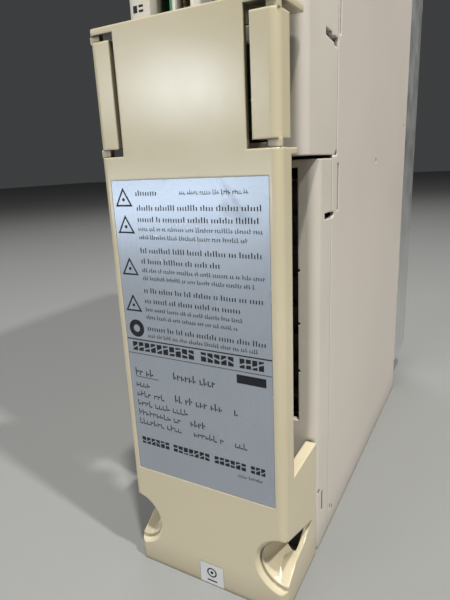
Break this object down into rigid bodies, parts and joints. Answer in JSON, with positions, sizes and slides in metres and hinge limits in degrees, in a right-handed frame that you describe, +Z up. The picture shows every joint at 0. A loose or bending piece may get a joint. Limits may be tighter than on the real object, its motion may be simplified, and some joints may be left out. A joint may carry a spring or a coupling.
{
  "type": "servo drive",
  "caption": "Narrow upright cabinet servo drive with an unclipping terminal cover, plug bay, cooling fan and rear heat sink.",
  "frame": {"origin": "centre of the footprint, on the surface that the casing stands on", "axes": "+Z up along the drive's height; -Y out of the front (terminal cover); +X to the right seen from the front"},
  "size_m": [0.07, 0.266, 0.38],
  "materials": {
    "painted_panel": "satin, fine orange peel",
    "bezel_plastic": "fine matt texture",
    "cover_plastic": "satin moulding, slightly yellowed",
    "sink_aluminium": "extruded, clear anodised",
    "plated_steel": "zinc plated",
    "black_plastic": "moulded",
    "label_film": "satin silver-blue film, printed",
    "sticker_film": "white film, printed",
    "contact_metal": "plated brass",
    "board_laminate": "solder mask",
    "socket_plastic": "moulded nylon",
    "chip_plastic": "moulded epoxy",
    "capacitor_can": "shrink sleeve",
    "ferrite": "sintered ferrite and tape",
    "fuse_glass": "clear",
    "pad_rubber": "soft pad",
    "bus_copper": "bare copper",
    "sheet_film": "polyester sheet",
    "ribbon_vinyl": "vinyl",
    "window_red": "polished, translucent red",
    "button_red": "moulded"
  },
  "bodies": {
    "root": {"side_panel_right": "painted_panel", "side_panel_left": "painted_panel", "mounting_plate": "painted_panel", "top_plate": "painted_panel", "bottom_plate": "painted_panel", "upper_bezel": "bezel_plastic", "lower_frame": "bezel_plastic", "heat_sink": "sink_aluminium", "heat_sink_screws": "plated_steel", "case_screws": "plated_steel", "fan_frame": "black_plastic", "fan_guard": "plated_steel", "fan_screws": "plated_steel", "terminal_block": "black_plastic", "terminal_plates": "contact_metal", "terminal_screws": "plated_steel", "earth_plate": "plated_steel", "earth_screws": "plated_steel", "control_board": "board_laminate", "signal_sockets": "socket_plastic", "control_chips": "chip_plastic", "power_board": "board_laminate", "bus_capacitors": "capacitor_can", "capacitor_clamp": "plated_steel", "current_sensors": "black_plastic", "relay": "chip_plastic", "power_transformer": "ferrite", "fuse_holder": "contact_metal", "control_fuse": "fuse_glass", "power_module": "black_plastic", "thermal_pad": "pad_rubber", "module_screws": "plated_steel", "bus_bars": "bus_copper", "board_standoffs": "contact_metal", "board_screws": "plated_steel", "insulating_sheet": "sheet_film", "ribbon_cable": "ribbon_vinyl", "ribbon_headers": "black_plastic", "display_board": "board_laminate", "status_display": "chip_plastic", "display_window": "window_red", "axis_switch_body": "black_plastic", "reset_switch": "black_plastic", "dip_switch_body": "button_red", "charge_lamp": "window_red"},
    "cover": {"terminal_cover": "cover_plastic", "rating_label": "label_film", "mark_sticker": "sticker_film"},
    "latch_right": {"latch_tab_right": "cover_plastic"},
    "latch_left": {"latch_tab_left": "cover_plastic"},
    "fan": {"fan_rotor": "black_plastic"},
    "axis_dial": {"axis_switch_dial": "socket_plastic"},
    "reset": {"reset_button": "button_red"},
    "dip_1": {"dip_slider_1": "socket_plastic"},
    "dip_2": {"dip_slider_2": "socket_plastic"},
    "dip_3": {"dip_slider_3": "socket_plastic"},
    "dip_4": {"dip_slider_4": "socket_plastic"}
  },
  "joints": [
    {"name": "cover_release", "type": "slide", "parent": "root", "child": "cover", "axis": [0, -1, 0], "range_m": [0, 0.045]},
    {"name": "latch_right_squeeze", "type": "slide", "parent": "cover", "child": "latch_right", "axis": [-1, 0, 0], "range_m": [0, 0.0016], "stiffness_N_per_m": 1500},
    {"name": "latch_left_squeeze", "type": "slide", "parent": "cover", "child": "latch_left", "axis": [1, 0, 0], "range_m": [0, 0.0016], "stiffness_N_per_m": 1500},
    {"name": "fan_spin", "type": "hinge", "parent": "root", "child": "fan", "pos_m": [0, -0.013, 0.3645], "axis": [0, 0, 1], "continuous": true},
    {"name": "axis_dial_turn", "type": "hinge", "parent": "root", "child": "axis_dial", "pos_m": [0.006, -0.107, 0.355], "axis": [0, 1, 0], "continuous": true},
    {"name": "reset_press", "type": "slide", "parent": "root", "child": "reset", "axis": [0, 1, 0], "range_m": [0, 0.0012], "stiffness_N_per_m": 400},
    {"name": "dip_1_slide", "type": "slide", "parent": "root", "child": "dip_1", "axis": [0, 0, 1], "range_m": [0, 0.002]},
    {"name": "dip_2_slide", "type": "slide", "parent": "root", "child": "dip_2", "axis": [0, 0, 1], "range_m": [0, 0.002]},
    {"name": "dip_3_slide", "type": "slide", "parent": "root", "child": "dip_3", "axis": [0, 0, 1], "range_m": [0, 0.002]},
    {"name": "dip_4_slide", "type": "slide", "parent": "root", "child": "dip_4", "axis": [0, 0, 1], "range_m": [0, 0.002]}
  ]
}
